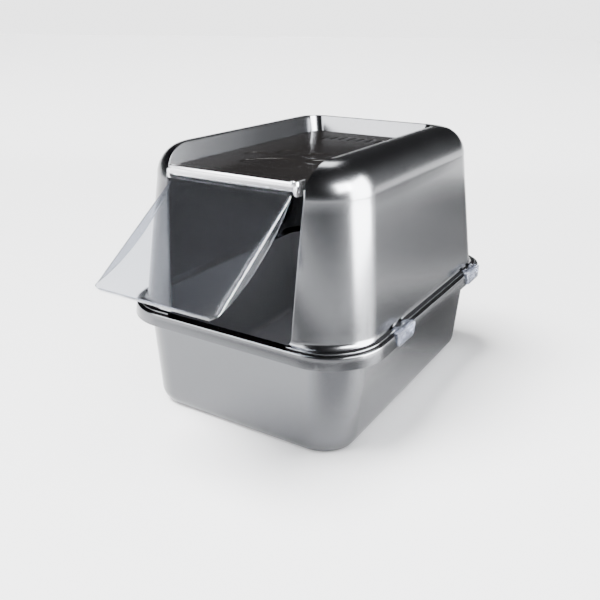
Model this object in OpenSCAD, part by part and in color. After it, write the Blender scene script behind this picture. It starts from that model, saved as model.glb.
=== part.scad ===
// Covered cat litter box: deep pan, clip-on hood with a recessed flip-up lid,
// a clear swinging entry flap and four side clips.
// Front (the doorway) faces -Y, +Z is up, the origin is the middle of the pan's base.

/* [Pan] */
// Length of the pan over its rim
pan_len = 560; // [440:2:700]
// Width of the pan over its rim
pan_wid = 440; // [360:2:560]
// Height of the rim above the floor
pan_h = 178; // [110:1:220]
// Plan radius of the two front corners of the rim
front_r = 92; // [70:1:110]
// Plan radius of the two rear corners of the rim
rear_r = 70; // [50:1:100]
// Width of the ledge inside the rim
ledge_w = 25; // [22:1:34]
// Depth of the skirt that hangs from the rim
skirt_h = 20; // [16:1:32]
// How far each side wall leans in towards the base
side_lean = 13; // [4:1:30]
// How far the end walls lean in towards the base
end_lean = 6; // [2:1:20]
// Wall thickness of the pan and the hood
wall = 3; // [2:0.5:4]

/* [Hood] */
// Height of the hood's top above the floor
top_z = 430; // [350:1:520]
// How far each side wall of the hood leans in
hood_side_lean = 22; // [5:1:30]
// How far the ends of the hood lean in
hood_end_lean = 16; // [5:1:25]
// Radius of the shoulder between walls and top
shoulder_r = 50; // [35:1:60]
// How much fuller the hood's plan corners are at the foot than the flange's
foot_full = 8; // [0:1:12]
// How much fuller they are at the shoulder
top_full = 30; // [0:1:40]
// Height of the flange that seats on the ledge
flange_h = 7; // [6:0.5:9]
// Half width of the doorway at the ledge
door_low = 108; // [90:1:120]
// Half width of the doorway under the lid
door_high = 116; // [95:1:130]
// Depth of the recess from the hood's top down to the lid
recess_h = 26; // [18:1:36]
// How much wider each side of the recess is at the top
recess_draft = 7; // [2:1:10]

/* [Lid] */
// Distance of the lid's rear edge from the pan's rear
lid_back = 100.5; // [93:0.5:140]
// Gap between each side of the lid and the recess
lid_gap = 5; // [3:0.5:10]
// Thickness of the lid
lid_t = 5; // [4:0.5:8]
// Distance of the lid's hinge axis from its rear edge
hinge_back = 8; // [6:0.5:12]
// Diameter of the hinge pins
pin_d = 3; // [2:0.2:3.6]
// Height of the bright rail on the lid's front edge
rail_h = 11; // [10:1:16]
// How far the rail's ears hang below the rail's top
ear_h = 20; // [18:1:36]
// Depth of the ears from front to back
ear_w = 26; // [20:1:40]
// How far the rail stands out of the hood's front
rail_out = 7.75; // [5:0.25:12]
// Size of the pressed paw
paw_r = 38; // [20:1:40]
// Depth of the pressed paw
paw_deep = 1; // [0.4:0.1:1.4]
// Distance of the paw's centre from the lid's front edge
paw_front = 120; // [60:1:140]
// Distance of the middle of the vents from the lid's rear edge
vent_back = 64; // [50:1:90]
// Length of each vent slot
vent_len = 42; // [20:1:50]
// Width of each vent slot
vent_w = 6; // [3:0.5:8]
// Distance from one vent slot to the next
vent_step = 17; // [12:0.5:18]

/* [Flap] */
// Gap between the hanging flap and the pan's ledge
flap_clear = 8; // [3:0.5:14]
// Gap between each side of the flap and the rail's ears
flap_gap = 3; // [2:0.5:8]
// Thickness of the flap's sheet
flap_t = 2; // [1.5:0.5:3]
// Depth of the flap's curved side wings at their middle
wing_w = 17; // [8:1:24]
// Angle at which the flap is stored, out from hanging
flap_open = 55; // [0:1:80]
// Diameter of the flap's rod
rod_d = 3; // [2:0.2:4]

/* [Clips] */
// Width of each side clip
clip_w = 58; // [44:1:70]
// Distance of the front clips from the end of the front corners' curve
clip_front = 38; // [1:1:60]
// Distance of the rear clips from the end of the rear corners' curve
clip_rear = -2; // [-4:1:40]
// Diameter of the bar that each clip turns on
bar_d = 3.2; // [2.4:0.2:3.6]
// Depth of the clip's plate over the skirt
clip_drop = 19; // [14:1:22]

/* [Fits] */
// Radial gap of every pin, rod and bar in its bore
run = 0.08; // [0.03:0.01:0.1]
// Gap between pieces that pass each other
gap = 0.6; // [0.4:0.1:1]

/* [Hidden] */
pw = pan_wid / 2;
pl = pan_len / 2;
lip_h = 4;
lip_w = 5;
ledge_z = pan_h - lip_h;
flange_d = lip_w + 1;
foot_d = flange_d + 9.5;
wall_top = top_z - shoulder_r;
lid_top = top_z - recess_h;
lid_low = lid_top - lid_t;
// Front of the hood's shoulder at the height of the lid, and the lid's plate behind the rail
front_y = -(pl - foot_d - hood_end_lean - shoulder_r
    + sqrt(pow(shoulder_r, 2) - pow(max(lid_low - wall_top, 0), 2)));
rail_t = 4;
rail_front = front_y - rail_out;
plate_front = rail_front + rail_t;
plate_rear = pl - lid_back;
lid_len = plate_rear - plate_front;
lid_half = door_high - lid_gap;
recess_rear = plate_rear + 4;
hinge_y = plate_rear - hinge_back;
hinge_z = lid_low + lid_t / 2;
ledge_in = door_high - 9;
rail_top = lid_top + 3;
rail_half = lid_half - 1;
axis_y = rail_front + 8;
axis_z = rail_top - ear_h + 7;
flap_len = axis_z - ledge_z - flap_clear;
// The flap passes between the rail's ears and, lower down, between the sides of the doorway
flap_half = min(rail_half - rail_t - flap_gap, door_low - flap_gap - 2);
sleeve_r = rod_d / 2 + run + 1.4;
loop_r = bar_d / 2 + run + 1.6;
bar_x = pw - lip_w - gap - loop_r;
bar_z = ledge_z + bar_d / 2 + 3.3;
loop_w = clip_w * 0.24;
loop_y = clip_w * 0.28;
plate_x = pw + 2 + gap;
vent_y = plate_rear - vent_back;

// Rounded rectangle, half sizes a and b, with its own radii at the front and the rear
function outline(a, b, rf, rb, n = 8) =
    [for (c = [[1, -1, -90, rf], [1, 1, 0, rb], [-1, 1, 90, rb], [-1, -1, 180, rf]])
        for (i = [0:n]) let (t = c[2] + 90 * i / n)
            [c[0] * (a - c[3]) + c[3] * cos(t), c[1] * (b - c[3]) + c[3] * sin(t)]];

// A ring of the pan or the hood: height z, set in from the rim by dx at the sides and dy at the ends
function ring(z, dx, dy) = [z, pw - dx, pl - dy,
    max(front_r - (dx + dy) / 2, 6), max(rear_r - (dx + dy) / 2, 5)];

module loft(rings, n = 8) {
    m = 4 * (n + 1);
    k = len(rings);
    polyhedron(
        points = [for (s = rings) for (p = outline(s[1], s[2], s[3], s[4], n)) [p[0], p[1], s[0]]],
        faces = concat([[for (i = [0:m - 1]) i]],
            [for (j = [0:k - 2]) for (i = [0:m - 1])
                [j * m + i, (j + 1) * m + i, j * m + (i + 1) % m]],
            [for (j = [0:k - 2]) for (i = [0:m - 1])
                [(j + 1) * m + i, (j + 1) * m + (i + 1) % m, j * m + (i + 1) % m]],
            [[for (i = [m - 1:-1:0]) (k - 1) * m + i]]));
}

// Outer wall of the pan stands ow_x and ow_y in from the rim
ow = ledge_w - wall + 0.6;
pan_rings = [
    ring(1, ow + side_lean + 12, ow + end_lean + 12),
    ring(2.2, ow + side_lean + 6, ow + end_lean + 6),
    ring(5.5, ow + side_lean + 1.8, ow + end_lean + 1.8),
    ring(13, ow + side_lean, ow + end_lean),
    ring(ledge_z - wall, ow, ow),
    ring(ledge_z - wall, wall, wall),
    ring(pan_h - skirt_h, wall - 2, wall - 2),
    ring(pan_h - skirt_h, -2, -2),
    ring(pan_h - 3, 0, 0),
    ring(pan_h - 0.8, 0.8, 0.8),
    ring(pan_h, 2.2, 2.2),
    ring(pan_h - 0.4, lip_w - 1, lip_w - 1),
    ring(ledge_z, lip_w, lip_w),
    ring(ledge_z, ledge_w - 1.4, ledge_w - 1.4),
    ring(ledge_z - 1.4, ledge_w, ledge_w),
    ring(15, ow + side_lean + wall, ow + end_lean + wall),
    ring(6, ow + side_lean + wall + 3, ow + end_lean + wall + 3),
    ring(4, ow + side_lean + wall + 10, ow + end_lean + wall + 10)];

module pan() {
    color("#9b9ca1") {
        loft(pan_rings);
        linear_extrude(2.5)
            polygon(outline(pw - ow - side_lean - 16, pl - ow - end_lean - 16, front_r - 50, rear_r - 40));
    }
}

// A ring of the hood whose plan corners are fuller by g
function full_ring(z, dx, dy, g) = let (r = ring(z, dx, dy)) [r[0], r[1], r[2], r[3] + g, r[4] + g];

// One ring of the shoulder, a radius s about the shoulder's centre, at t degrees
function shoulder(t, s) = full_ring(wall_top + s * sin(t),
    foot_d + hood_side_lean + shoulder_r - s * cos(t), foot_d + hood_end_lean + shoulder_r - s * cos(t), top_full);

outer_rings = concat([
    ring(ledge_z, flange_d, flange_d),
    ring(ledge_z + flange_h - 1, flange_d + 0.2, flange_d + 0.2),
    ring(ledge_z + flange_h, flange_d + 1.4, flange_d + 1.4),
    ring(ledge_z + flange_h, foot_d - 3, foot_d - 3),
    full_ring(ledge_z + flange_h + 1, foot_d - 1, foot_d - 1, foot_full / 2),
    full_ring(ledge_z + flange_h + 4, foot_d, foot_d, foot_full)],
    [for (t = [0:15:90]) shoulder(t, shoulder_r)]);

inner_rings = concat([for (t = [90:-15:0]) shoulder(t, shoulder_r - wall)],
    [for (z = [2, 0]) full_ring(ledge_z + z, foot_d + wall, foot_d + wall, foot_full)]);

// Rings of the recess, grown sideways by g
function recess(g, low) = [for (s = [[low, (low - lid_low) / recess_h], [top_z + 6, 1.3]])
    let (a = door_high + g + recess_draft * s[1], rear = recess_rear + g + recess_draft * s[1])
        [s[0], a, (rear + pan_len) / 2, 20 + g, 20 + g]];

module recess_solid(g, low) {
    r = recess(g, low);
    y = [for (s = r) s[2] - pan_len];
    m = 36;
    polyhedron(
        points = [for (j = [0, 1]) for (p = outline(r[j][1], r[j][2], r[j][3], r[j][4])) [p[0], p[1] + y[j], r[j][0]]],
        faces = concat([[for (i = [0:m - 1]) i]],
            [for (i = [0:m - 1]) [i, m + i, (i + 1) % m]],
            [for (i = [0:m - 1]) [m + i, m + (i + 1) % m, (i + 1) % m]],
            [[for (i = [m - 1:-1:0]) m + i]]));
}

module door_cut() {
    translate([0, -pl + 90, 0]) rotate([90, 0, 0]) linear_extrude(pl)
        polygon([[-door_low, ledge_z - 1], [door_low, ledge_z - 1],
            [door_high, lid_low + 1], [-door_high, lid_low + 1]]);
}

// Where the clips sit along the sides
clip_ys = [-pl + front_r + clip_front + clip_w / 2, pl - rear_r - clip_rear - clip_w / 2];

module hood() {
    color("#97999f") {
        difference() {
            union() {
                difference() {
                    loft(concat(inner_rings, outer_rings));
                    recess_solid(0, lid_low);
                    door_cut();
                }
                // Walls of the recess, carried down past the lid
                difference() {
                    intersection() {
                        loft(outer_rings);
                        recess_solid(wall, lid_low - 6);
                    }
                    recess_solid(0, lid_low - 6.5);
                }
                // Ledges that the lid's sides rest on, and bosses for its pins
                for (s = [-1, 1]) {
                    translate([s * (ledge_in + door_high + wall / 2) / 2, (hinge_y - 12 + rail_front + ear_w + 8) / 2, lid_low - 1.5])
                        cube([door_high + wall / 2 - ledge_in, hinge_y - 20 - rail_front - ear_w, 3], center = true);
                    translate([s * (door_high + wall), hinge_y, hinge_z - 1])
                        cube([wall + 2, 12, 10], center = true);
                }
            }
            for (s = [-1, 1]) {
                translate([s * (door_high + wall), hinge_y, hinge_z]) rotate([0, 90, 0])
                    cylinder(h = 16, d = pin_d + 2 * run, center = true, $fn = 48);
                // Notches in the flange that leave room for the clips' loops
                for (y = clip_ys) for (k = [-1, 1])
                    translate([s * (bar_x + 1), y + k * loop_y, ledge_z + 6])
                        cube([14, loop_w + 2 * gap, 16], center = true);
            }
        }
        // Bars that the clips turn on
        for (s = [-1, 1]) for (y = clip_ys)
            translate([s * bar_x, y, bar_z]) rotate([90, 0, 0])
                cylinder(h = clip_w, d = bar_d, center = true, $fn = 48);
    }
}

// Plan of the lid: narrow in front, where it sits between the rail's ears
module lid_plan(inset = 0) {
    tongue = rail_half - rail_t;
    ear_y = rail_front + ear_w + gap;
    translate([0, (plate_front + plate_rear) / 2])
        intersection() {
            polygon(outline(lid_half - inset, lid_len / 2 - inset, 4, 16));
            union() {
                polygon(outline(tongue - inset, lid_len / 2 - inset, 4, 16));
                translate([-lid_half, ear_y + inset - (plate_front + plate_rear) / 2]) square([2 * lid_half, lid_len]);
            }
        }
}

// A generic four-toed paw, drawn round its main pad
module paw_plan(r) {
    translate([0, -0.1 * r]) circle(r * 0.98, $fn = 64);
    for (s = [-1, 1]) translate([s * 0.78 * r, -0.52 * r]) circle(r * 0.66, $fn = 64);
    for (t = [[-62, 1.95], [-20, 2.25], [20, 2.25], [62, 1.95]])
        rotate(-t[0]) translate([0, t[1] * r]) {
            circle(r * 0.47, $fn = 48);
            translate([0, -0.36 * r]) circle(r * 0.42, $fn = 48);
        }
}

module lid() {
    skin = 2.5;
    color("#2b2829") difference() {
        translate([0, 0, lid_low]) linear_extrude(lid_t) lid_plan();
        translate([0, 0, lid_low - 1]) linear_extrude(lid_t - skin + 1)
            difference() {
                lid_plan(14);
                for (y = [plate_front + lid_len * 0.27, plate_front + lid_len * 0.54])
                    translate([-lid_half, y]) square([2 * lid_half, 4]);
            }
        // The paw is pressed into the lid's top
        translate([0, plate_front + paw_front, lid_top - paw_deep])
            linear_extrude(paw_deep + 1) paw_plan(paw_r);
        // Vent slots over the filter
        for (k = [-3:3]) translate([k * vent_step, vent_y, lid_top]) cube([vent_w, vent_len, 12], center = true);
        for (s = [-1, 1]) translate([s * (lid_half - 12), hinge_y, hinge_z]) rotate([0, s * 90, 0])
            cylinder(h = 14, d = pin_d, $fn = 48);
    }
}

module lid_rail() {
    ear_y = rail_front + ear_w;
    color("#e6e6ea") difference() {
        union() {
            translate([0, 0, rail_top - rail_h]) linear_extrude(rail_h) difference() {
                translate([0, rail_front + 50]) polygon(outline(rail_half, 50, 8, 8));
                translate([0, plate_front + 50]) polygon(outline(rail_half - rail_t, 50, 4, 4));
                translate([-rail_half - 1, ear_y]) square([2 * rail_half + 2, 200]);
            }
            for (s = [-1, 1]) translate([s * (rail_half - rail_t / 2), 0, 0]) rotate([90, 0, 90])
                linear_extrude(rail_t, center = true) {
                    translate([rail_front + 7, rail_top - ear_h]) square([ear_w - 13, ear_h]);
                    translate([rail_front + 8, rail_top - ear_h + 6]) square([ear_w - 8, ear_h - 6]);
                    translate([rail_front + 1, rail_top - ear_h + 6]) square([8, ear_h - rail_h]);
                    translate([rail_front + 7, rail_top - ear_h + 6]) circle(6, $fn = 48);
                    translate([rail_front + ear_w - 6, rail_top - ear_h + 6]) circle(6, $fn = 48);
                }
            // Small finger nub at the right-hand end
            translate([rail_half - 7, rail_front + 3.2, rail_top - 1]) cylinder(h = 2.6, d = 5.4, $fn = 48);
        }
        translate([0, axis_y, axis_z]) rotate([0, 90, 0])
            cylinder(h = 2 * rail_half + 2, d = rod_d, center = true, $fn = 48);
    }
}

module lid_pin(s) {
    color("#b9bbc0") translate([s * (lid_half - 12), hinge_y, hinge_z]) rotate([0, s * 90, 0])
        cylinder(h = door_high + wall + 1.6 - lid_half + 12, d = pin_d, $fn = 48);
}

module lid_pin_left() lid_pin(-1);
module lid_pin_right() lid_pin(1);

tray_l = 6 * vent_step + vent_w + 42;
tray_w = vent_len + 20;
tray_h = 11;
tray_z = lid_top - 2.5 - tray_h;

module filter_holder() {
    color("#3a3a3d") translate([0, vent_y, tray_z]) difference() {
        translate([-tray_l / 2, -tray_w / 2, 0]) cube([tray_l, tray_w, tray_h]);
        translate([-tray_l / 2 + 2, -tray_w / 2 + 2, 1.6]) cube([tray_l - 4, tray_w - 4, tray_h]);
        for (k = [-3:3]) translate([k * 19, 0, 0]) cube([8, 44, 8], center = true);
    }
}

module filter_pad() {
    color("#1d1d1f") translate([-tray_l / 2 + 2.5, vent_y - tray_w / 2 + 2.5, tray_z + 1.6])
        cube([tray_l - 5, tray_w - 5, tray_h - 2.4]);
}

// The flap is drawn hanging from its axis, then swung out to where it is stored
module entry_flap() {
    wing_t = 1.8;
    // Each wing is the part of a large circle that stands behind the sheet
    wing_r = (pow(flap_len / 2 - 4, 2) + pow(wing_w, 2)) / (2 * wing_w);
    color("#c9cdd2", 0.45) translate([0, axis_y, axis_z]) rotate([-flap_open, 0, 0]) {
        difference() {
            rotate([0, 90, 0]) cylinder(h = 2 * flap_half, r = sleeve_r, center = true, $fn = 48);
            rotate([0, 90, 0]) cylinder(h = 2 * flap_half + 2, d = rod_d + 2 * run, center = true, $fn = 48);
        }
        translate([0, flap_t / 2, -sleeve_r + 0.8 - (flap_len - sleeve_r + 0.8) / 2]) rotate([90, 0, 0])
            linear_extrude(flap_t) polygon(outline(flap_half, (flap_len - sleeve_r + 0.8) / 2, 10, 1));
        for (s = [-1, 1]) translate([s * (flap_half - wing_t / 2), 0, 0]) rotate([90, 0, 90])
            linear_extrude(wing_t, center = true) intersection() {
                translate([wing_w - wing_r, -flap_len / 2]) circle(wing_r, $fn = 180);
                translate([0, -flap_len]) square([wing_w + 1, flap_len]);
            }
        translate([-flap_half + 9, 0, -flap_len]) cube([2 * flap_half - 18, 5, 2]);
    }
}

module flap_rod() {
    color("#b9bbc0") translate([0, axis_y, axis_z]) rotate([0, 90, 0])
        cylinder(h = 2 * rail_half - 1, d = rod_d, center = true, $fn = 48);
}

// A clip for the right-hand side: two loops on the hood's bar, a strap over the rim, a plate on the skirt
module clip(y) {
    strap_z = pan_h + 0.7;
    strap_t = 2.2;
    plate_t = 2.4;
    color("#c3c8dc", 0.7) translate([0, y, 0]) difference() {
        union() {
            for (k = [-1, 1]) translate([bar_x, k * loop_y, bar_z]) rotate([90, 0, 0])
                cylinder(h = loop_w, r = loop_r, center = true, $fn = 48);
            for (k = [-1, 1]) translate([bar_x, k * loop_y - loop_w / 2, strap_z])
                cube([pw - flange_d + 2 - bar_x, loop_w, strap_t]);
            translate([pw - flange_d + 1.2, -clip_w / 2, strap_z])
                cube([plate_x + plate_t - pw + flange_d - 1.2, clip_w, strap_t]);
            translate([plate_x, 0, pan_h - clip_drop + (clip_drop + 2.9) / 2]) rotate([90, 0, 90])
                linear_extrude(plate_t) polygon(outline(clip_w / 2, (clip_drop + 2.9) / 2, 5, 1));
            translate([plate_x + plate_t - 0.5, 0, pan_h - clip_drop / 2]) rotate([90, 0, 90])
                linear_extrude(1.7) polygon(outline(clip_w * 0.36, clip_drop * 0.33, 2, 2));
        }
        translate([bar_x, 0, bar_z]) rotate([90, 0, 0])
            cylinder(h = clip_w + 2, d = bar_d + 2 * run, center = true, $fn = 48);
        translate([plate_x + plate_t + 1, 0, pan_h - clip_drop / 2 + 1]) cube([1.6, clip_w * 0.2, 3], center = true);
    }
}

module clip_front_right() clip(clip_ys[0]);
module clip_rear_right() clip(clip_ys[1]);
module clip_front_left() mirror([1, 0, 0]) clip(clip_ys[0]);
module clip_rear_left() mirror([1, 0, 0]) clip(clip_ys[1]);

pan();
hood();
lid();
lid_rail();
lid_pin_left();
lid_pin_right();
filter_holder();
filter_pad();
entry_flap();
flap_rod();
clip_front_right();
clip_rear_right();
clip_front_left();
clip_rear_left();
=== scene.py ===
import bpy
import bmesh
import numpy as np
from mathutils import Matrix, Vector


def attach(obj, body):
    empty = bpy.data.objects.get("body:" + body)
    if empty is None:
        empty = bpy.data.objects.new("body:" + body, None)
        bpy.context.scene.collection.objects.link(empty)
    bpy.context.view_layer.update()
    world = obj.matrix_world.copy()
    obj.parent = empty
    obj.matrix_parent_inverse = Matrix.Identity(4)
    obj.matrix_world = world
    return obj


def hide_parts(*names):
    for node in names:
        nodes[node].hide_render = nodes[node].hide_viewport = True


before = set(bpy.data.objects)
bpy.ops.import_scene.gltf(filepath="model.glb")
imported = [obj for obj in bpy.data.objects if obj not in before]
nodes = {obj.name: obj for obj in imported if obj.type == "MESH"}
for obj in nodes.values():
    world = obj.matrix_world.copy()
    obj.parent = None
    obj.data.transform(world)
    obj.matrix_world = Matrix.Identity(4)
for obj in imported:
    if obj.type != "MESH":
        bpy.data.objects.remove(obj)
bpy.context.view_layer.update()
print("stage 1: frame loaded,", len(nodes), "nodes")

mm = 0.001
deg = np.pi / 180


def softened(line, cuts, steps=6):
    # each inner corner of the line becomes a short curve: it leaves the line a cut before the corner,
    # comes back a cut after it, and in between is the quadratic curve pulled towards the corner
    line = np.asarray(line, float)
    out = [line[:1]]
    for k in range(1, len(line) - 1):
        corner, cut = line[k], cuts[k]
        if cut == 0:
            out.append(line[k:k + 1])
            continue
        before, after = line[k - 1] - corner, line[k + 1] - corner
        a = corner + before * min(cut / np.linalg.norm(before), 0.48)
        b = corner + after * min(cut / np.linalg.norm(after), 0.48)
        t = np.linspace(0, 1, steps + 1)[:, None]
        out.append((1 - t) ** 2 * a + 2 * t * (1 - t) * corner + t ** 2 * b)
    out.append(line[-1:])
    return np.concatenate(out)


def refined(line, longest):
    # straight runs are divided evenly so that no step is longer than asked
    line = np.asarray(line, float)
    out = [line[:1]]
    for a, b in zip(line[:-1], line[1:]):
        n = max(1, int(np.ceil(np.linalg.norm(b - a) / longest)))
        t = np.linspace(0, 1, n + 1)[1:, None]
        out.append(a + (b - a) * t)
    return np.concatenate(out)


def smooth(t):
    t = np.clip(t, 0, 1)
    return t * t * (3 - 2 * t)


def roundedLoop(a, b, front, rear, arc=24, side=14):
    # rectangle of half sizes a, b: from the front right corner round to the front left one, each corner
    # a quarter circle (radius front or rear), each side divided evenly; one row of points per entry of a
    a, b, front, rear = [np.asarray(v, float)[:, None] for v in (a, b, front, rear)]
    turn = np.linspace(0, np.pi / 2, arc + 1)[None]
    corners = []
    places = (1, -1, front, -90), (1, 1, rear, 0), (-1, 1, rear, 90), (-1, -1, front, 180)
    for sx, sy, r, start in places:
        angle = start * deg + turn
        corners.append(np.stack([sx * (a - r) + r * np.cos(angle), sy * (b - r) + r * np.sin(angle)], -1))
    loop = []
    t = np.linspace(0, 1, side + 1)[None, 1:-1, None]
    for here, after in zip(corners, corners[1:] + corners[:1]):
        loop += [here, here[:, -1:] * (1 - t) + after[:, :1] * t]
    return np.concatenate(loop, 1)


def pieceFrom(name, points, faces, merge=0.0):
    mesh = bpy.data.meshes.new(name)
    mesh.from_pydata((np.asarray(points).reshape(-1, 3) * mm).tolist(), [], [list(f) for f in faces])
    if merge:
        work = bmesh.new()
        work.from_mesh(mesh)
        bmesh.ops.remove_doubles(work, verts=work.verts, dist=merge * mm)
        bmesh.ops.dissolve_degenerate(work, edges=work.edges, dist=merge * mm * 0.5)
        work.to_mesh(mesh)
        work.free()
    mesh.validate()
    piece = bpy.data.objects.new(name, mesh)
    bpy.context.scene.collection.objects.link(piece)
    return piece


def gridFaces(rows, cols, closed=False, keep=None, start=0):
    # every cell of the grid is a face, walked column, then row, so that it faces column x row
    i, j = np.meshgrid(np.arange(rows - 1), np.arange(cols if closed else cols - 1), indexing="ij")
    k = (j + 1) % cols
    faces = np.stack([i * cols + j, i * cols + k, (i + 1) * cols + k, (i + 1) * cols + j], -1) + start
    return (faces[keep] if keep is not None else faces.reshape(-1, 4)).tolist()


def gridPiece(name, grid, closed=False, caps=False, keep=None, merge=0.0):
    rows, cols = grid.shape[:2]
    faces = gridFaces(rows, cols, closed, keep)
    if caps:
        faces.append(list(range(cols))[::-1])
        faces.append(list(range((rows - 1) * cols, rows * cols)))
    return pieceFrom(name, grid, faces, merge)


def tubePiece(name, path, radius, around=32):
    # a round section of the given radius carried along a straight line of points, with flat ends
    path = np.asarray(path, float)
    along = (path[-1] - path[0]) / np.linalg.norm(path[-1] - path[0])
    side = np.cross(along, [0.3, 0.5, 0.81])
    side /= np.linalg.norm(side)
    up = np.cross(along, side)
    turn = np.linspace(0, 2 * np.pi, around, endpoint=False)
    ring = np.cos(turn)[:, None] * side + np.sin(turn)[:, None] * up
    radius = np.broadcast_to(radius, len(path))
    grid = path[:, None] + ring[None] * radius[:, None, None]
    return gridPiece(name, grid, closed=True, caps=True)


def finished(piece, wall=0.0, offset=-1.0, edge=0.0, steps=2, edgeAngle=40, sharp=38, inside=0):
    # gives the surface its wall and rounded edges, applies them, and marks what stays sharp
    if wall:
        solid = piece.modifiers.new("wall", "SOLIDIFY")
        solid.thickness, solid.offset, solid.use_even_offset = wall * mm, offset, True
        solid.use_quality_normals = True
        solid.material_offset = inside
    if edge:
        bevel = piece.modifiers.new("edge", "BEVEL")
        bevel.width, bevel.segments, bevel.limit_method = edge * mm, steps, "ANGLE"
        bevel.angle_limit, bevel.use_clamp_overlap = edgeAngle * deg, True
    if piece.modifiers:
        settled = bpy.context.evaluated_depsgraph_get()
        mesh = bpy.data.meshes.new_from_object(piece.evaluated_get(settled))
        piece.modifiers.clear()
        piece.data = mesh
    piece.data.shade_smooth()
    piece.data.set_sharp_from_angle(angle=sharp * deg)
    return piece


def twoSkins(piece):
    # room for an outer and an inner material; the inner one is painted darker as the shade inside
    for k in range(2):
        piece.data.materials.append(None)


def joined(piece, *others):
    with bpy.context.temp_override(active_object=piece, selected_editable_objects=[piece, *others]):
        bpy.ops.object.join()
    return piece


# sizes are in millimetres, the same as the frame's
shell = dict(halfWidth=220, halfLength=280, rimHeight=178, frontRadius=92, rearRadius=70, wall=3)


def shellRows(line):
    # a row of the pan or the hood: height, then how far it is set in at the sides and at the ends
    line = np.asarray(line, float)
    inset = (line[:, 1] + line[:, 2]) / 2
    return (shell["halfWidth"] - line[:, 1], shell["halfLength"] - line[:, 2],
            np.maximum(shell["frontRadius"] - inset, 6), np.maximum(shell["rearRadius"] - inset, 5))


pan = dict(ledge=25, skirt=20, skirtFlare=2, lip=4, lipWidth=5, sideLean=13, endLean=6, gap=0.6,
           baseCurve=14, baseRing=9, floor=4, longest=14)


def makePan():
    rim, wall, flare = shell["rimHeight"], shell["wall"], pan["skirtFlare"]
    ledgeZ, skirtZ = rim - pan["lip"], rim - pan["skirt"]
    lipW, ledge, floor, ring, curve = [pan[k] for k in ("lipWidth", "ledge", "floor", "baseRing", "baseCurve")]
    body = ledge - wall + pan["gap"]
    sx, sy = body + pan["sideLean"], body + pan["endLean"]

    def at(z, inset, cut, of=(0, 0)):
        return z, of[0] + inset, of[1] + inset, cut

    # each row: height, inset at the sides and at the ends, and how much of the corner is rounded off;
    # the rows run from the underside up the outside, over the rim, and down the inside to the floor
    base = (sx, sy)
    profile = [
        at(0, 17.5, 0, base), at(0, 16, 0.6, base), at(1, 15.5, 0.4, base),
        at(1, ring, 4, base), at(curve, 0, 9, base), at(ledgeZ - wall, body, 2.5),
        at(ledgeZ - wall, wall + 0.4, 2), at(skirtZ, wall - 2, 0.8), at(skirtZ, -flare, 0.8),
        at(rim - 2.6, 0, 0), at(rim - 0.6, 0.7, 0.8), at(rim, 2.4, 0.9), at(rim - 0.4, lipW - 1.2, 0.8),
        at(ledgeZ, lipW, 1.2), at(ledgeZ, ledge, 3),
        at(15, wall, 0, base), at(8, wall + 1.6, 5, base), at(floor, wall + 7, 5, base), at(floor, 26, 0, base)]
    line = refined(softened([p[:3] for p in profile], [p[3] for p in profile]), pan["longest"])
    loops = roundedLoop(*shellRows(line))
    z = np.broadcast_to(line[:, None, :1], loops.shape[:2] + (1,))
    piece = gridPiece("panShell", np.concatenate([loops, z], -1), closed=True, caps=True)
    finished(piece, sharp=50)
    # from the ledge's inner edge down the faces wear the inside's material, a darker grey that is painted shade
    rowOf = np.repeat(np.arange(len(line) - 1), loops.shape[1])
    first = len(line) - 1 - int(np.argmax(line[::-1, 0] > ledgeZ - 1))
    numbers = np.concatenate([rowOf >= first, [False, True]]).astype(np.int32)
    twoSkins(piece)
    piece.data.polygons.foreach_set("material_index", numbers)
    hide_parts("pan")
    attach(piece, "pan")
    return piece


hood = dict(top=430, shoulder=50, flange=6, foot=15.5, flangeHeight=7, sideLean=22, endLean=16,
            footFull=8, topFull=30, roll=4, doorLow=108, doorHigh=116, recess=26, draft=7,
            recessRear=183.5, recessCorner=20, lidSeat=31, clips=(-121, 183), clipLoop=16.24,
            loopWidth=13.92, notchGap=0.6, barX=211.12, barZ=178.9, barRadius=1.6, barHalf=29,
            frontColumns=72, crowd=1.8, rearColumns=44, recessFront=-185,
            ledgeAt=(112.2, -29.25), ledgeSize=(10.5, 378, 3), bossAt=(119, 171.5), bossSize=(5, 12, 10))
lidLow = hood["top"] - hood["lidSeat"]
# how fast the doorway and the recess widen with height
recessRise = hood["draft"] * 1.3 / (hood["recess"] + 11)


def doorHalf(z):
    # half width of the doorway at a height, and above the lid of the recess; both are straight lines in z
    meet, ledgeZ = lidLow + 1, shell["rimHeight"] - pan["lip"]
    high = hood["doorHigh"] + recessRise * (z - lidLow)
    widening = hood["doorHigh"] + recessRise - hood["doorLow"]
    low = hood["doorLow"] + widening * (z - ledgeZ) / (meet - ledgeZ)
    return np.where(z < meet, low, high)


def cornerPath(a, b, r, w, count, crowd=1.0):
    # along the end wall from x = w, then round the corner to the side wall, by even steps of length
    # raised to a power that crowds them at the start; where w already lies on the corner's arc the path
    # starts part way
    straight = np.maximum(a - r - w, 0)
    start = np.arcsin(np.clip((w - a + r) / r, 0, 1))
    s = (straight + r * (np.pi / 2 - start)) * np.linspace(0, 1, count)[None] ** crowd
    turn = start + np.maximum(s - straight, 0) / r
    x = np.where(s < straight, w + s, a - r + r * np.sin(turn))
    y = np.where(s < straight, -b + 0 * s, -b + r - r * np.cos(turn))
    return x, y


def hoodRows(line):
    a, b, front, rear = shellRows(line)
    return [v[:, None] for v in (a, b, front + line[:, 3], rear + line[:, 3])]


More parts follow.
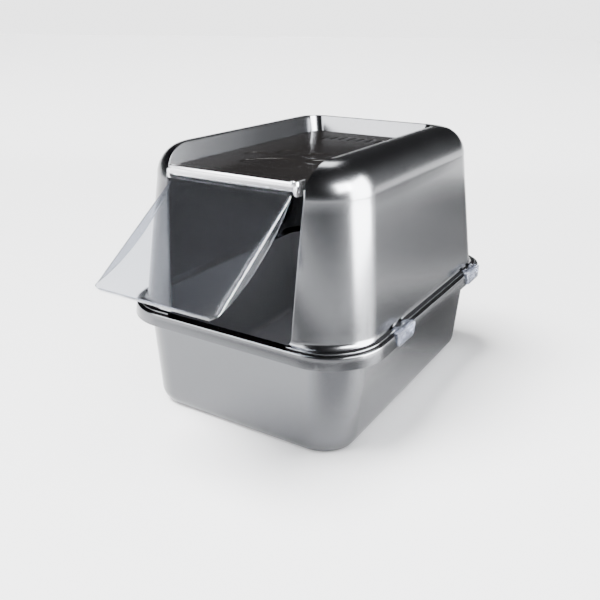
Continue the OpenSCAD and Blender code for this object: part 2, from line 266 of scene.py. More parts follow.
def hoodSkinRight(line, sideSteps):
    # right half of each row: doorway edge, front corner, side, rear corner, rear middle
    a, b, front, rear = hoodRows(line)
    z = line[:, :1]
    w = doorHalf(z)
    x1, y1 = cornerPath(a, b, front, w, hood["frontColumns"], hood["crowd"])
    # the edge of the doorway is rolled in on a small radius, which fades out below the lid and above
    # the flange
    roll = hood["roll"]
    near = np.clip(roll - (x1 - w), 0, roll)
    fade = smooth((lidLow - 1 - z) / 14) * smooth((z - shell["rimHeight"] - 2) / 10)
    y1 = y1 + (roll - np.sqrt(roll ** 2 - near ** 2)) * fade
    y2 = (-b + front) + (2 * b - front - rear) * sideSteps[None]
    x3, y3 = cornerPath(a, b, rear, 0 * a, hood["rearColumns"])
    x = np.concatenate([x1, a + 0 * y2, x3[:, ::-1]], 1)
    y = np.concatenate([y1, y2, -y3[:, ::-1]], 1)
    return np.stack([x, y, z + 0 * x], -1)


def recessRight(z, a, y0, rear, corner, counts):
    # right half of a row of the recess: from its front end along the side, round the rear corner, to
    # the middle
    n1, n2, n3, n4 = counts
    from1 = hood["recessFront"]
    z, a, y0, rear = [np.asarray(v, float)[:, None] for v in (z, a, y0, rear)]
    t = np.linspace(0, 1, n1 + 1)[None, :-1]
    y1 = y0 + (from1 - y0) * t
    t = np.linspace(0, 1, n2)[None]
    y2 = from1 + (rear - corner - from1) * t
    turn = np.linspace(0, 90, n3)[None] * deg
    x3, y3 = a - corner + corner * np.cos(turn), rear - corner + corner * np.sin(turn)
    t = np.linspace(0, 1, n4 + 1)[None, 1:]
    x = np.concatenate([a + 0 * y1, a + 0 * y2, x3, (a - corner) * (1 - t)], 1)
    y = np.concatenate([y1, y2, y3, rear + 0 * a * t], 1)
    return np.stack([x, y, z + 0 * x], -1)


def mirroredRow(grid):
    # the right half, then the same points with x turned about and in the other order
    left = grid[:, :-1][:, ::-1] * np.array([-1, 1, 1])
    return np.concatenate([grid, left], 1)


def makeHood():
    ledgeZ = shell["rimHeight"] - pan["lip"]
    f, foot, h = hood["flange"], hood["foot"], ledgeZ + hood["flangeHeight"]
    wallTop, r = hood["top"] - hood["shoulder"], hood["shoulder"]
    sx, sy = foot + hood["sideLean"], foot + hood["endLean"]
    # flange, foot and wall: height, inset at the sides, inset at the ends, fullness of the corners
    corners = [(ledgeZ, f, f, 0), (h, f + 0.3, f + 0.3, 0), (h, foot - 1.4, foot - 1.4, 0),
               (h + 5, foot + 0.1, foot + 0.1, hood["footFull"]), (wallTop, sx, sy, hood["topFull"])]
    lower = softened(corners, [0, 1.1, 1.6, 4, 0], 4)
    # the notches for the clips are as high as the flange
    notchRows = int(np.argmax(lower[:, 1] > 14.6))
    lower = np.concatenate([lower[:-1], refined(lower[-2:], 16)[1:]])
    # shoulder: a quarter circle from the wall over to the top
    turn = np.linspace(0, 90, 33)[1:, None] * deg
    over = r - r * np.cos(turn)
    arc = np.concatenate([wallTop + r * np.sin(turn), sx + over, sy + over, hood["topFull"] + 0 * turn], 1)
    line = np.concatenate([lower, arc])
    # columns along the side, with one at each end of every notch for the clips' loops
    ya, yb = shell["frontRadius"] - shell["halfLength"], shell["halfLength"] - shell["rearRadius"]
    reach = hood["loopWidth"] / 2 + hood["notchGap"]
    middles = np.array([y + k * hood["clipLoop"] for y in hood["clips"] for k in (-1, 1)])
    marks = np.concatenate([middles - reach, middles + reach])
    even = np.linspace(ya, yb, 30)[1:-1]
    even = even[np.abs(even[:, None] - marks).min(1) > 3]
    steps = np.sort(np.concatenate([even, marks]))
    skin = hoodSkinRight(line, (steps - ya) / (yb - ya))
    # the edge of the recess, then down its wall; the front ends of these rows follow the shoulder
    down = arc[::-1]
    down = down[down[:, 0] > lidLow - 6]
    a, b, front, rear = [v[:, 0] for v in hoodRows(down)]
    w = doorHalf(down[:, 0])
    past = np.clip(w - a + front, 0, None)
    y0 = -b + front - np.sqrt(front ** 2 - past ** 2)
    rearY = hood["recessRear"] + recessRise * (down[:, 0] - lidLow)
    corner = 25
    counts = (hood["frontColumns"], len(steps), corner, hood["rearColumns"] - corner)
    wallGrid = recessRight(down[:, 0], w, y0, rearY, hood["recessCorner"], counts)
    grid = mirroredRow(np.concatenate([skin, wallGrid]))
    # cells inside the notches are left out
    rows, cols = grid.shape[:2]
    keep = np.ones((rows - 1, cols - 1), bool)
    y = skin[0, :, 1]
    between = (y[:-1] + y[1:]) / 2
    inNotch = (np.abs(between[:, None] - middles) < reach).any(1)
    first = hood["frontColumns"] - 1
    inNotch[:first] = inNotch[first + len(steps) + 1:] = False
    keep[:notchRows, np.concatenate([inNotch, inNotch[::-1]])] = False
    piece = gridPiece("hoodShell", grid, keep=keep, merge=0.02)
    twoSkins(piece)
    finished(piece, wall=shell["wall"], edge=0.7, steps=2, edgeAngle=50, inside=1)
    # bars for the clips, ledges for the lid and bosses for its pins
    extras = []
    for s in (-1, 1):
        for y0 in hood["clips"]:
            x = s * hood["barX"]
            ends = [(x, y0 + k * hood["barHalf"], hood["barZ"]) for k in (-1, 1)]
            extras.append(tubePiece("bar", ends, hood["barRadius"]))
        for kind, rise, edge in (("ledge", -1.5, 0.6), ("boss", 1.5, 0.8)):
            x, y = hood[kind + "At"]
            extras.append(blockPiece(kind, (s * x, y, lidLow + rise), hood[kind + "Size"], edge))
    for e in extras:
        finished(e)
    joined(piece, *extras)
    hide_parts("hood")
    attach(piece, "hood")
    return piece


def blockPiece(name, centre, size, edge):
    # a block whose edges are rounded by rings: each ring is the block's outline, set in by a quarter circle
    centre, half = np.asarray(centre, float), np.asarray(size, float) / 2
    turn = np.linspace(0, 90, 4) * deg
    inset = np.concatenate([edge * (1 - np.sin(turn)), edge * (1 - np.sin(turn))[::-1]])
    z = np.concatenate([-half[2] + edge * (1 - np.cos(turn)), half[2] - edge * (1 - np.cos(turn))[::-1]])
    corner = np.maximum(edge * 1.2 - inset, 0.05)
    loops = roundedLoop(half[0] - inset, half[1] - inset, corner, corner, arc=4, side=1)
    grid = np.concatenate([loops, np.broadcast_to(z[:, None, None], loops.shape[:2] + (1,))], -1)
    return gridPiece(name, grid + centre, closed=True, caps=True)


lid = dict(half=111, tongue=106, front=-248.5, rear=179.5, ears=-225.9, corner=16, thick=5,
           top=lidLow + 5, rimWidth=2.4, rimHeight=2.5, stepX=1.6, stepY=1.7,
           ventY=115.5, ventLength=42, ventWidth=6, ventStep=17, vents=7,
           pawRadius=38, pawY=-128.5, pawDepth=1.1, toeRadius=0.46, toeLength=0.36,
           toes=((-62, 1.95), (-20, 2.25), (20, 2.25), (62, 1.95)))


def pawDip(x, y):
    # each pad is a shallow pressing: a flat floor inside, rising to the plate over a short steep edge;
    # the main pad is three discs run together, a toe is a short bar with round ends at an angle and a
    # distance, and all its lengths are shares of the paw's radius
    r = lid["pawRadius"]
    y = y - lid["pawY"]

    def disc(cx, cy, rx):
        return rx - np.hypot(x - cx, y - cy)

    def blend(*ds):
        k = 0.25 * r
        m = np.max(ds, 0)
        return m + k * np.log(sum(np.exp((d - m) / k) for d in ds)) - k * 0.35

    main = blend(disc(0, -0.1 * r, 0.92 * r), *[disc(k * 0.78 * r, -0.52 * r, 0.58 * r) for k in (-1, 1)])
    pads = [main]
    for turn, far in lid["toes"]:
        c, s = np.cos(turn * deg), np.sin(turn * deg)
        u, v = x * c - y * s, x * s + y * c
        v = v - far * r
        along = np.clip(v, -lid["toeLength"] * r, 0)
        pads.append(lid["toeRadius"] * r - np.hypot(u, v - along))
    inside = np.max(pads, 0)
    return -lid["pawDepth"] * smooth((inside + 0.6) / 2.6)


def makeLid():
    # heights over the plate on a grid whose lines include the vent slots' edges
    xs = np.arange(-lid["half"] + 1.5, lid["half"], lid["stepX"])
    middles = (np.arange(lid["vents"]) - (lid["vents"] - 1) / 2) * lid["ventStep"]
    slots = middles[:, None] + np.array([-0.5, 0.5]) * lid["ventWidth"]
    xs = xs[np.min(np.abs(xs[:, None] - slots.ravel()), 1) > 0.7]
    xs = np.sort(np.concatenate([xs, slots.ravel(), [-lid["half"], lid["half"]]]))
    ys = np.arange(lid["front"] + 1.2, lid["rear"], lid["stepY"])
    marks = np.array([lid["front"], lid["ears"], lid["ears"] + 0.01, lid["rear"],
                      lid["ventY"] - lid["ventLength"] / 2, lid["ventY"] + lid["ventLength"] / 2])
    ys = ys[np.min(np.abs(ys[:, None] - marks), 1) > 0.7]
    ys = np.sort(np.concatenate([ys, marks]))
    c = lid["corner"]
    past = np.clip(ys - (lid["rear"] - c), 0, c)
    plate = lid["half"] - (c - np.sqrt(np.maximum(c * c - past ** 2, 0)))
    half = np.where(ys <= lid["ears"] + 0.001, lid["tongue"], plate)
    # only the outer columns give way where the plate is narrower, so the slots stay straight
    inner = slots.max() + 2
    share = (half[:, None] - inner) / (lid["half"] - inner)
    far = np.abs(xs)[None]
    x = np.where(far > inner, np.sign(xs)[None] * (inner + (far - inner) * share), xs[None])
    y = np.broadcast_to(ys[:, None], x.shape)
    z = lid["top"] + pawDip(x, y)
    keep = np.ones((len(ys) - 1, len(xs) - 1), bool)
    mx, my = (xs[1:] + xs[:-1]) / 2, (ys[1:] + ys[:-1]) / 2
    inSlot = ((mx[:, None] > slots[:, 0]) & (mx[:, None] < slots[:, 1])).any(1)
    keep[np.ix_(np.abs(my - lid["ventY"]) < lid["ventLength"] / 2, inSlot)] = False
    piece = gridPiece("lidPlate", np.stack([x, y, z], -1), keep=keep, merge=0.03)
    finished(piece, wall=lid["thick"] - 2, edge=0.6, steps=2, edgeAngle=60, sharp=50)
    # a stiffening rim under the plate
    tongue, plate, front, ears, rear = [lid[k] for k in ("tongue", "half", "front", "ears", "rear")]
    right = [(tongue - 1, front + 1), (tongue - 1, ears), (plate - 1, ears + 1),
             (plate - 1, rear - 8), (plate - 9, rear - 1)]
    outline = [(-tongue + 1, front + 1), *right] + [(-x, y) for x, y in right[:0:-1]]
    rim = blockRim("lidRim", outline, lid["rimWidth"], lidLow, lidLow + lid["rimHeight"])
    joined(piece, finished(rim))
    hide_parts("lid")
    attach(piece, "lid")
    return piece


def blockRim(name, outline, width, low, high):
    # a closed band: the outline and the same outline moved in by the width, at two heights
    line = np.asarray(outline, float)
    centre = line.mean(0)
    ahead, behind = np.roll(line, -1, 0) - line, line - np.roll(line, 1, 0)
    ahead /= np.linalg.norm(ahead, axis=1)[:, None]
    behind /= np.linalg.norm(behind, axis=1)[:, None]
    out = np.stack([ahead[:, 1] + behind[:, 1], -ahead[:, 0] - behind[:, 0]], -1)
    out /= np.maximum((out * np.stack([ahead[:, 1], -ahead[:, 0]], -1)).sum(1), 0.2)[:, None]
    inner = line - out * width
    ring = lambda p, z: np.concatenate([p, np.full((len(p), 1), z)], 1)
    grid = np.stack([ring(inner, low), ring(line, low), ring(line, high), ring(inner, high), ring(inner, low)])
    return gridPiece(name, grid, closed=True, merge=0.01)


flap = dict(half=103, length=212, thick=2, wing=17, bend=3, corner=10, lip=5, lipThick=1.8,
            axisY=-244.5, axisZ=394.0, open=55, sleeve=2.98, bore=1.58)


def wingDepth(s):
    # a shallow piece of a large circle: nothing at both ends of the flap, the full depth at its middle
    chord = flap["length"] / 2 - 4
    r = (chord ** 2 + flap["wing"] ** 2) / (2 * flap["wing"])
    return np.maximum(np.sqrt(np.maximum(r * r - (s - flap["length"] / 2) ** 2, 0)) - r + flap["wing"], 0)


def makeFlap():
    s = np.concatenate([np.linspace(flap["sleeve"] - 0.8, flap["length"] - 10, 64),
                        flap["length"] - 10 + 10 * np.sin(np.linspace(0, 78, 10)[1:] * deg)])
    depth = wingDepth(s)[:, None]
    bend = np.minimum(flap["bend"], depth)
    past = np.clip(s - (flap["length"] - flap["corner"]), 0, flap["corner"])[:, None]
    half = flap["half"] - 1 - (flap["corner"] - np.sqrt(flap["corner"] ** 2 - past ** 2))
    turn = np.linspace(0, 90, 7)[None] * deg
    w = np.linspace(1, 0, 9)[None]
    # right half, from the wing's back edge round the bend to the middle
    xWing, yWing = half + 0 * w, bend + (depth - bend) * w
    xBend, yBend = half - bend + bend * np.cos(turn), bend - bend * np.sin(turn)
    t = np.linspace(0, 1, 16)[None, 1:]
    xFlat, yFlat = (half - bend) * (1 - t), 0 * half * t
    x = np.concatenate([xWing, xBend, xFlat], 1)
    y = np.concatenate([yWing, yBend, yFlat], 1)
    z = np.broadcast_to(-s[:, None], x.shape)
    grid = mirroredRow(np.stack([x, y, z], -1))
    sheet = gridPiece("flapSheet", grid, merge=0.03)
    finished(sheet, wall=flap["thick"] - 0.1, offset=0.0, edge=0.45, steps=2, edgeAngle=50, sharp=45)
    lip = blockPiece("flapLip", (0, 2.4, -flap["length"] + 1),
                     (2 * flap["half"] - 22, flap["lip"], flap["lipThick"]), 0.5)
    finished(lip)
    # sleeve: a ring section between bore and outside, carried along the axis
    x = np.array([-flap["half"], flap["half"]])
    turn = np.linspace(0, 2 * np.pi, 40, endpoint=False)
    ring = np.stack([0 * turn, np.cos(turn), np.sin(turn)], -1)
    walk = [("bore", x[0]), ("sleeve", x[0]), ("sleeve", x[1]), ("bore", x[1]), ("bore", x[0])]
    rows = [ring * flap[size] + [end, 0, 0] for size, end in walk]
    sleeve = gridPiece("flapSleeve", np.stack(rows)[::-1], closed=True, merge=0.001)
    finished(sleeve)
    joined(sheet, lip, sleeve)
    axis = Matrix.Translation((0, flap["axisY"] * mm, flap["axisZ"] * mm))
    sheet.data.transform(axis @ Matrix.Rotation(-flap["open"] * deg, 4, "X"))
    sheet.name = "flapClear"
    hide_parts("entry_flap")
    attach(sheet, "flap")
    return sheet


def nodeGroup(name, inputs, outputs):
    group = bpy.data.node_groups.new(name, "ShaderNodeTree")
    for label, value in inputs.items():
        group.interface.new_socket(label, in_out="INPUT", socket_type="NodeSocketFloat").default_value = value
    for label in outputs:
        group.interface.new_socket(label, in_out="OUTPUT", socket_type="NodeSocketFloat")
    return group, group.nodes.new("NodeGroupInput"), group.nodes.new("NodeGroupOutput")


def add(tree, kind, **values):
    node = tree.nodes.new(kind)
    for key, value in values.items():
        if hasattr(node, key) and key not in node.inputs:
            setattr(node, key, value)
        else:
            node.inputs[key].default_value = value
    return node


def span(node, side, low, high):
    node.inputs[side + " Min"].default_value, node.inputs[side + " Max"].default_value = low, high


def toneMix(tree, a, b):
    mix = add(tree, "ShaderNodeMix", data_type="RGBA")
    mix.inputs["A"].default_value, mix.inputs["B"].default_value = a, b
    return mix


def makeFlake():
    # fine metal flake: two cell patterns give each speck its own tone and a tiny tilt
    group, given, result = nodeGroup("silverFlake", dict(Scale=1400.0, Depth=0.2), ["Tone", "Height"])
    where = add(group, "ShaderNodeTexCoord")
    cells = add(group, "ShaderNodeTexVoronoi")
    drift = add(group, "ShaderNodeTexNoise", Scale=9.0, Detail=3.0)
    ramp = add(group, "ShaderNodeMapRange")
    span(ramp, "To", 0.9, 1.06)
    scale = add(group, "ShaderNodeMath", operation="MULTIPLY")
    split = add(group, "ShaderNodeSeparateColor")
    mixTone = add(group, "ShaderNodeMath", operation="MULTIPLY")
    link = group.links.new
    link(where.outputs["Object"], cells.inputs["Vector"])
    link(given.outputs["Scale"], cells.inputs["Scale"])
    link(where.outputs["Object"], drift.inputs["Vector"])
    link(cells.outputs["Color"], split.inputs["Color"])
    link(split.outputs["Red"], ramp.inputs["Value"])
    link(ramp.outputs["Result"], mixTone.inputs[0])
    driftRange = add(group, "ShaderNodeMapRange")
    span(driftRange, "To", 0.97, 1.03)
    link(drift.outputs["Fac"], driftRange.inputs["Value"])
    link(driftRange.outputs["Result"], mixTone.inputs[1])
    link(mixTone.outputs["Value"], result.inputs["Tone"])
    link(split.outputs["Green"], scale.inputs[0])
    link(given.outputs["Depth"], scale.inputs[1])
    link(scale.outputs["Value"], result.inputs["Height"])
    return group


def makeScuff():
    # light handling marks: stretched noise, kept only where it peaks, and a broad cloud of smudges
    group, given, result = nodeGroup("handlingMarks", dict(Amount=0.2, Base=0.2), ["Roughness"])
    where = add(group, "ShaderNodeTexCoord")
    turn = add(group, "ShaderNodeMapping")
    turn.inputs["Rotation"].default_value = (0.4, 0.7, 0.5)
    turn.inputs["Scale"].default_value = (14, 190, 60)
    lines = add(group, "ShaderNodeTexNoise", Scale=1.0, Detail=2.0)
    cloud = add(group, "ShaderNodeTexNoise", Scale=7.0, Detail=5.0)
    peak = add(group, "ShaderNodeMapRange")
    span(peak, "From", 0.66, 0.8)
    smudge = add(group, "ShaderNodeMapRange")
    span(smudge, "From", 0.45, 0.75)
    total = add(group, "ShaderNodeMath", operation="MAXIMUM")
    amount = add(group, "ShaderNodeMath", operation="MULTIPLY")
    base = add(group, "ShaderNodeMath", operation="ADD")
    link = group.links.new
    link(where.outputs["Object"], turn.inputs["Vector"])
    link(turn.outputs["Vector"], lines.inputs["Vector"])
    link(where.outputs["Object"], cloud.inputs["Vector"])
    link(lines.outputs["Fac"], peak.inputs["Value"])
    link(cloud.outputs["Fac"], smudge.inputs["Value"])
    link(peak.outputs["Result"], total.inputs[0])
    link(smudge.outputs["Result"], total.inputs[1])
    link(total.outputs["Value"], amount.inputs[0])
    link(given.outputs["Amount"], amount.inputs[1])
    link(amount.outputs["Value"], base.inputs[0])
    link(given.outputs["Base"], base.inputs[1])
    link(base.outputs["Value"], result.inputs["Roughness"])
    return group


flake, scuff = makeFlake(), makeScuff()


def place(tree, group, **values):
    node = tree.nodes.new("ShaderNodeGroup")
    node.node_tree = group
    for key, value in values.items():
        node.inputs[key].default_value = value
    return node


def newMaterial(name, **values):
    material = bpy.data.materials.new(name)
    material.use_nodes = True
    shader = material.node_tree.nodes["Principled BSDF"]
    for key, value in values.items():
        shader.inputs[key.replace("_", " ")].default_value = value
    return material, material.node_tree, shader


silver = dict(colour=(0.132, 0.135, 0.142, 1), dark=(0.104, 0.107, 0.113, 1), flakeScale=1500.0,
              rough=0.22, marks=0.02)


def silverPlastic():
    material, tree, shader = newMaterial("silverPlastic", Metallic=1.0, Coat_Weight=0.2, Coat_Roughness=0.1)
    specks = place(tree, flake, Scale=silver["flakeScale"], Depth=0.25)
    marks = place(tree, scuff, Amount=silver["marks"], Base=silver["rough"])
    tone = toneMix(tree, silver["dark"], silver["colour"])
    spread = add(tree, "ShaderNodeMapRange")
    span(spread, "From", 0.85, 1.1)
    bump = add(tree, "ShaderNodeBump", Strength=0.08, Distance=0.0002)
    link = tree.links.new
    link(specks.outputs["Tone"], spread.inputs["Value"])
    link(spread.outputs["Result"], tone.inputs["Factor"])
    link(tone.outputs["Result"], shader.inputs["Base Color"])
    link(marks.outputs["Roughness"], shader.inputs["Roughness"])
    link(specks.outputs["Height"], bump.inputs["Height"])
    link(bump.outputs["Normal"], shader.inputs["Normal"])
    return material


def glossPlastic(name, colour, other, rough, marks, metallic=0.0, coat=0.3):
    # moulded gloss plastic: a slow change between two close colours, and light marks in the gloss
    material, tree, shader = newMaterial(name, Metallic=metallic, Coat_Weight=coat, Coat_Roughness=0.05)
    where = add(tree, "ShaderNodeTexCoord")
    cloud = add(tree, "ShaderNodeTexNoise", Scale=16.0, Detail=4.0)
    tone = toneMix(tree, colour, other)
    wear = place(tree, scuff, Amount=marks, Base=rough)
    bump = add(tree, "ShaderNodeBump", Strength=0.05, Distance=0.0003)
    link = tree.links.new
    link(where.outputs["Object"], cloud.inputs["Vector"])
    link(cloud.outputs["Fac"], tone.inputs["Factor"])
    link(tone.outputs["Result"], shader.inputs["Base Color"])
    link(wear.outputs["Roughness"], shader.inputs["Roughness"])
    link(cloud.outputs["Fac"], bump.inputs["Height"])
    link(bump.outputs["Normal"], shader.inputs["Normal"])
    return material


def clearPlastic(name, colour, other, rough, transmission):
    material, tree, shader = newMaterial(name, IOR=1.47, Transmission_Weight=transmission)
    where = add(tree, "ShaderNodeTexCoord")
    cloud = add(tree, "ShaderNodeTexNoise", Scale=12.0, Detail=3.0)
    tone = toneMix(tree, colour, other)
    wear = place(tree, scuff, Amount=0.08, Base=rough)
    link = tree.links.new
    link(where.outputs["Object"], cloud.inputs["Vector"])
    link(cloud.outputs["Fac"], tone.inputs["Factor"])
    link(tone.outputs["Result"], shader.inputs["Base Color"])
    link(wear.outputs["Roughness"], shader.inputs["Roughness"])
    return material


def feltMaterial():
    material, tree, shader = newMaterial("charcoalFelt", Roughness=0.95, Sheen_Weight=0.2)
    where = add(tree, "ShaderNodeTexCoord")
    fibre = add(tree, "ShaderNodeTexNoise", Scale=900.0, Detail=6.0)
    tone = toneMix(tree, (0.008, 0.008, 0.008, 1), (0.05, 0.05, 0.05, 1))
    bump = add(tree, "ShaderNodeBump", Strength=0.6, Distance=0.0006)
    link = tree.links.new
    link(where.outputs["Object"], fibre.inputs["Vector"])
    link(fibre.outputs["Fac"], tone.inputs["Factor"])
    link(tone.outputs["Result"], shader.inputs["Base Color"])
    link(fibre.outputs["Fac"], bump.inputs["Height"])
    link(bump.outputs["Normal"], shader.inputs["Normal"])
    return material


silverSkin = silverPlastic()
# the inside faces: the same plastic as the outside, painted a darker, duller grey as painted shade for the
# inside of the box
paintedShadeInside = glossPlastic("paintedShadeInside", colour=(0.05, 0.051, 0.057, 1), other=(0.06, 0.062, 0.069, 1),
                           rough=0.42, marks=0.04, coat=0.0)
darkGloss = glossPlastic("darkGlossPlastic", colour=(0.006, 0.0055, 0.0055, 1), other=(0.012, 0.011, 0.01, 1),
                         rough=0.13, marks=0.08, coat=0.0)
railSilver = glossPlastic("railSilver", colour=(0.62, 0.62, 0.64, 1), other=(0.66, 0.66, 0.68, 1),
                          rough=0.2, marks=0.04, metallic=0.8)
flapClear = clearPlastic("flapClear", colour=(0.6, 0.62, 0.67, 1), other=(0.55, 0.575, 0.625, 1),
                         rough=0.04, transmission=0.99)
clipClear = clearPlastic("clipClear", colour=(0.7, 0.73, 0.84, 1), other=(0.64, 0.68, 0.8, 1),
                         rough=0.08, transmission=0.94)
pinSteel = glossPlastic("pinSteel", colour=(0.5, 0.5, 0.52, 1), other=(0.58, 0.58, 0.6, 1),
                        rough=0.24, marks=0.12, metallic=1.0, coat=0.0)
charcoal = feltMaterial()
print("stage 2: materials made")


def paint(piece, *skins):
    # faces keep their number, so a piece may wear one material outside and another inside
    numbers = np.zeros(len(piece.data.polygons), np.int32)
    piece.data.polygons.foreach_get("material_index", numbers)
    piece.data.materials.clear()
    for material in skins:
        piece.data.materials.append(material)
    piece.data.polygons.foreach_set("material_index", np.minimum(numbers, len(skins) - 1))


def polished(name, material, edge=0.0):
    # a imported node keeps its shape: doubled points are welded, edges rounded a little, curves smoothed
    node = nodes[name]
    paint(node, material)
    node.data.shade_smooth()
    weld = node.modifiers.new("weld", "WELD")
    weld.merge_threshold = 1e-5
    if edge:
        bevel = node.modifiers.new("edge", "BEVEL")
        bevel.width, bevel.segments, bevel.limit_method = edge * mm, 2, "ANGLE"
        bevel.angle_limit, bevel.harden_normals = 35 * deg, True


paint(makePan(), silverSkin, paintedShadeInside)
print("stage 3: pan made")
paint(makeHood(), silverSkin, paintedShadeInside)
print("stage 4: hood made")
paint(makeLid(), darkGloss)
print("stage 5: lid made")
paint(makeFlap(), flapClear)
print("stage 6: flap made")
polished("lid_rail", railSilver, 0.8)
polished("filter_holder", darkGloss, 0.4)
polished("filter_pad", charcoal, 0.8)
for name in ("lid_pin_left", "lid_pin_right", "flap_rod"):
    polished(name, pinSteel, 0.3)
for name in ("clip_front_right", "clip_rear_right", "clip_front_left", "clip_rear_left"):
    polished(name, clipClear, 0.5)
print("stage 7: small parts finished")


camera = dict(azimuth=31.4, elevation=22.1, roll=0.4, distance=1222.0, across=-31.0, up=-70.8,
              middle=210.0, lens=41.6, sensor=36, farthest=60)
studio = dict(floor=(0.95, 0.95, 0.955, 1), rough=0.8, half=5.0, rows=12, cols=9, turned=0.8,
              sweepFrom=1.9, sweepRadius=0.7, sweepEnd=75, sweepSteps=15,
              low=(0.4, 0.405, 0.42, 1), high=(0.022, 0.022, 0.025, 1), bandTop=0.17,
              seen=(3.1, 3.1, 3.12, 1), worldStrength=1.0)


def makeStage():
    # floor and sweep: a flat run, then most of a quarter circle up into a low wall, the same all the way
    # across; the whole is turned most of the way towards the camera's line of sight
    turn = np.linspace(0, studio["sweepEnd"], studio["sweepSteps"] + 1)[1:] * deg
    half, start, r = studio["half"], studio["sweepFrom"], studio["sweepRadius"]
    y = np.concatenate([np.linspace(-half, start, studio["rows"]), start + r * np.sin(turn)])
    z = np.concatenate([np.zeros(studio["rows"]), r - r * np.cos(turn)])
    x = np.linspace(-half, half, studio["cols"])
    gx, gy = np.meshgrid(x, y)
    gz = np.broadcast_to(z[:, None], gx.shape)
    facing = camera["azimuth"] * deg * studio["turned"]
    c, s = np.cos(facing), np.sin(facing)
    floor = gridPiece("floor", np.stack([gx * c - gy * s, gx * s + gy * c, gz], -1) / mm)
    floor.data.shade_smooth()
    material, tree, shader = newMaterial("paleFloor", Base_Color=studio["floor"], Roughness=studio["rough"])
    paint(floor, material)
    # sky: pale at the horizon, dark overhead, so that flat tops stay dark
    world = bpy.data.worlds.new("softWorld")
    world.use_nodes = True
    tree = world.node_tree
    back = tree.nodes["Background"]
    back.inputs["Strength"].default_value = studio["worldStrength"]
    where = add(tree, "ShaderNodeTexCoord")
    split = add(tree, "ShaderNodeSeparateXYZ")
    height = add(tree, "ShaderNodeMapRange")
    height.interpolation_type = "SMOOTHSTEP"
    span(height, "From", 0.0, studio["bandTop"])
    tone = toneMix(tree, studio["low"], studio["high"])
    tree.links.new(where.outputs["Generated"], split.inputs["Vector"])
    tree.links.new(split.outputs["Z"], height.inputs["Value"])
    tree.links.new(height.outputs["Result"], tone.inputs["Factor"])
    # the camera itself sees an even pale backdrop
    path = add(tree, "ShaderNodeLightPath")
    seen = add(tree, "ShaderNodeMix", data_type="RGBA")
    seen.inputs["B"].default_value = studio["seen"]
    tree.links.new(path.outputs["Is Camera Ray"], seen.inputs["Factor"])
    tree.links.new(tone.outputs["Result"], seen.inputs["A"])
    tree.links.new(seen.outputs["Result"], back.inputs["Color"])
    bpy.context.scene.world = world


def areaLight(name, at, target, size, power, hiddenFrom=None):
    light = bpy.data.lights.new(name, "AREA")
    light.shape, light.size, light.size_y, light.energy = "RECTANGLE", size[0], size[1], power
    lamp = bpy.data.objects.new(name, light)
    lamp.location = at
    lamp.rotation_euler = (Vector(target) - Vector(at)).to_track_quat("-Z", "Y").to_euler()
    lamp.visible_camera = False
    if hiddenFrom:
        setattr(lamp, "visible_" + hiddenFrom, False)
    bpy.context.scene.collection.objects.link(lamp)


def flag(name, centre, reach, turn, tone):
    # a flat card just over the floor that only reflections see: an oval of the given tone that fades out to
    # its edge, so that the floor reflects darker or lighter there without a hard border
    middle, (w, h) = np.array(centre), reach
    c, s = np.cos(turn * deg), np.sin(turn * deg)
    across, along = w * np.array([c, s, 0]), h * np.array([-s, c, 0])
    corners = [middle + i * across + j * along for i, j in ((-1, -1), (1, -1), (1, 1), (-1, 1))]
    card = pieceFrom(name, np.array(corners) / mm, [[0, 1, 2, 3]])
    material = bpy.data.materials.new(name)
    material.use_nodes = True
    tree = material.node_tree
    tree.nodes.remove(tree.nodes["Principled BSDF"])
    where = add(tree, "ShaderNodeTexCoord")
    local = add(tree, "ShaderNodeMapping", vector_type="TEXTURE", Location=middle,
                Rotation=(0, 0, turn * deg), Scale=(w, h, 1))
    far = add(tree, "ShaderNodeVectorMath", operation="LENGTH")
    fade = add(tree, "ShaderNodeMapRange", interpolation_type="SMOOTHSTEP")
    span(fade, "From", 1.0, 0.35)
    clear = add(tree, "ShaderNodeBsdfTransparent")
    glow = add(tree, "ShaderNodeEmission", Color=(tone, tone, tone * 1.03, 1))
    mix = add(tree, "ShaderNodeMixShader")
    link = tree.links.new
    link(where.outputs["Object"], local.inputs["Vector"])
    link(local.outputs["Vector"], far.inputs[0])
    link(far.outputs["Value"], fade.inputs["Value"])
    link(fade.outputs["Result"], mix.inputs["Fac"])
    link(clear.outputs["BSDF"], mix.inputs[1])
    link(glow.outputs["Emission"], mix.inputs[2])
    link(mix.outputs["Shader"], tree.nodes["Material Output"].inputs["Surface"])
    paint(card, material)
    card.visible_camera = card.visible_diffuse = card.visible_shadow = card.visible_transmission = False


# insideGlow, under the hood's top, keeps the inside from going black; only the steep edges on the lid
# catch lidLight, which is small and high behind
lights = dict(
    frontSoftbox=dict(at=(-1.6, -2.5, 1.1), target=(0, 0, 0.2), size=(1.8, 1.5), power=150),
    cornerSoftbox=dict(at=(1.88, 0.45, 0.85), target=(0.1, -0.2, 0.3), size=(1.6, 1.7), power=560,
                       hiddenFrom="diffuse"),
    shoulderSoftbox=dict(at=(1.97, -0.6, 1.5), target=(0.1, -0.2, 0.3), size=(1.0, 0.8), power=190,
                         hiddenFrom="diffuse"),
    overhead=dict(at=(0.75, -0.35, 2.3), target=(0, 0, 0), size=(1.3, 1.3), power=30, hiddenFrom="glossy"),
    insideFill=dict(at=(1.0, -2.0, 0.7), target=(0, 0, 0.25), size=(0.6, 0.6), power=10, hiddenFrom="glossy"),
    insideGlow=dict(at=(0, 0.03, 0.34), target=(0, 0.05, 0), size=(0.16, 0.2), power=2, hiddenFrom="glossy"),
    lidLight=dict(at=(-0.6, 0.95, 2.4), target=(0, 0, 0.4), size=(1.0, 1.0), power=44, hiddenFrom="diffuse"))
sunLight = dict(along=(0.34, 0.3, -1.0), power=12.0, spread=32)
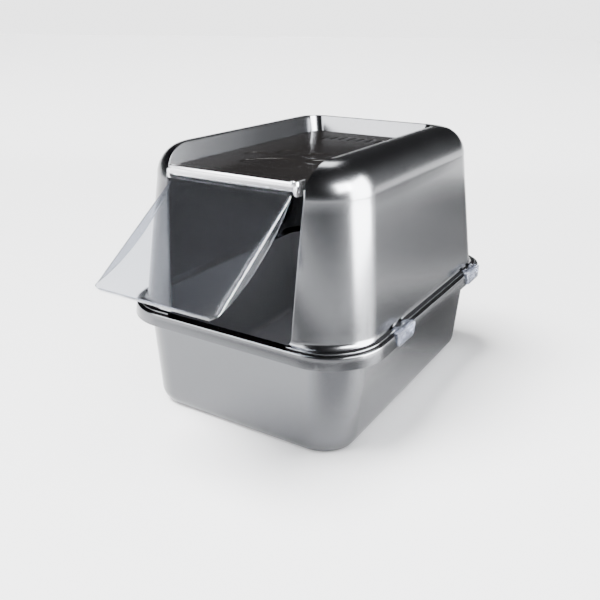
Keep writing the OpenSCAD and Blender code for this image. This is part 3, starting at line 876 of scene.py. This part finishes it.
flags = dict(
    sideFlag=dict(centre=(0.74, 1.55, 0.002), reach=(0.82, 1.5), turn=-22, tone=0.5),
    rearFlag=dict(centre=(0.85, 2.3, 0.004), reach=(0.65, 0.95), turn=-22, tone=0.08),
    cornerFlag=dict(centre=(0.95, -0.5, 0.006), reach=(0.7, 0.7), turn=0, tone=0.27),
    frontFlag=dict(centre=(0.1, -1.1, 0.008), reach=(1.3, 0.6), turn=0, tone=0.26),
    nearFlag=dict(centre=(0.36, -0.4, 0.012), reach=(0.34, 0.3), turn=40, tone=1.9),
    panFlag=dict(centre=(0.4, 0.34, 0.01), reach=(0.4, 0.44), turn=-15, tone=0.2))


def makeLights():
    for name, values in lights.items():
        areaLight(name, **values)
    sun = bpy.data.lights.new("softSun", "SUN")
    sun.energy, sun.angle = sunLight["power"], sunLight["spread"] * deg
    lamp = bpy.data.objects.new("softSun", sun)
    lamp.rotation_euler = Vector(sunLight["along"]).to_track_quat("-Z", "Y").to_euler()
    lamp.visible_glossy = False
    bpy.context.scene.collection.objects.link(lamp)
    for name, values in flags.items():
        flag(name, **values)


def makeCamera():
    # the camera looks back along the line of sight at a point set across and up from the box's middle
    a, e, r = camera["azimuth"] * deg, camera["elevation"] * deg, camera["roll"] * deg
    back = np.array([np.sin(a) * np.cos(e), -np.cos(a) * np.cos(e), np.sin(e)])
    right = np.array([np.cos(a), np.sin(a), 0])
    up = np.cross(back, right)
    target = np.array([0, 0, camera["middle"]]) + right * camera["across"] + up * camera["up"]
    eye = (target + back * camera["distance"]) * mm
    right, up = np.cos(r) * right + np.sin(r) * up, -np.sin(r) * right + np.cos(r) * up
    data = bpy.data.cameras.new("viewCamera")
    data.sensor_width, data.lens, data.clip_end = camera["sensor"], camera["lens"], camera["farthest"]
    eyeObject = bpy.data.objects.new("viewCamera", data)
    m = Matrix.Identity(4)
    for k, v in enumerate((right, up, back)):
        m[0][k], m[1][k], m[2][k] = v
    m.translation = Vector(eye)
    eyeObject.matrix_world = m
    bpy.context.scene.collection.objects.link(eyeObject)
    bpy.context.scene.camera = eyeObject


makeStage()
makeLights()
makeCamera()
print("stage 8: floor, lights and camera placed")
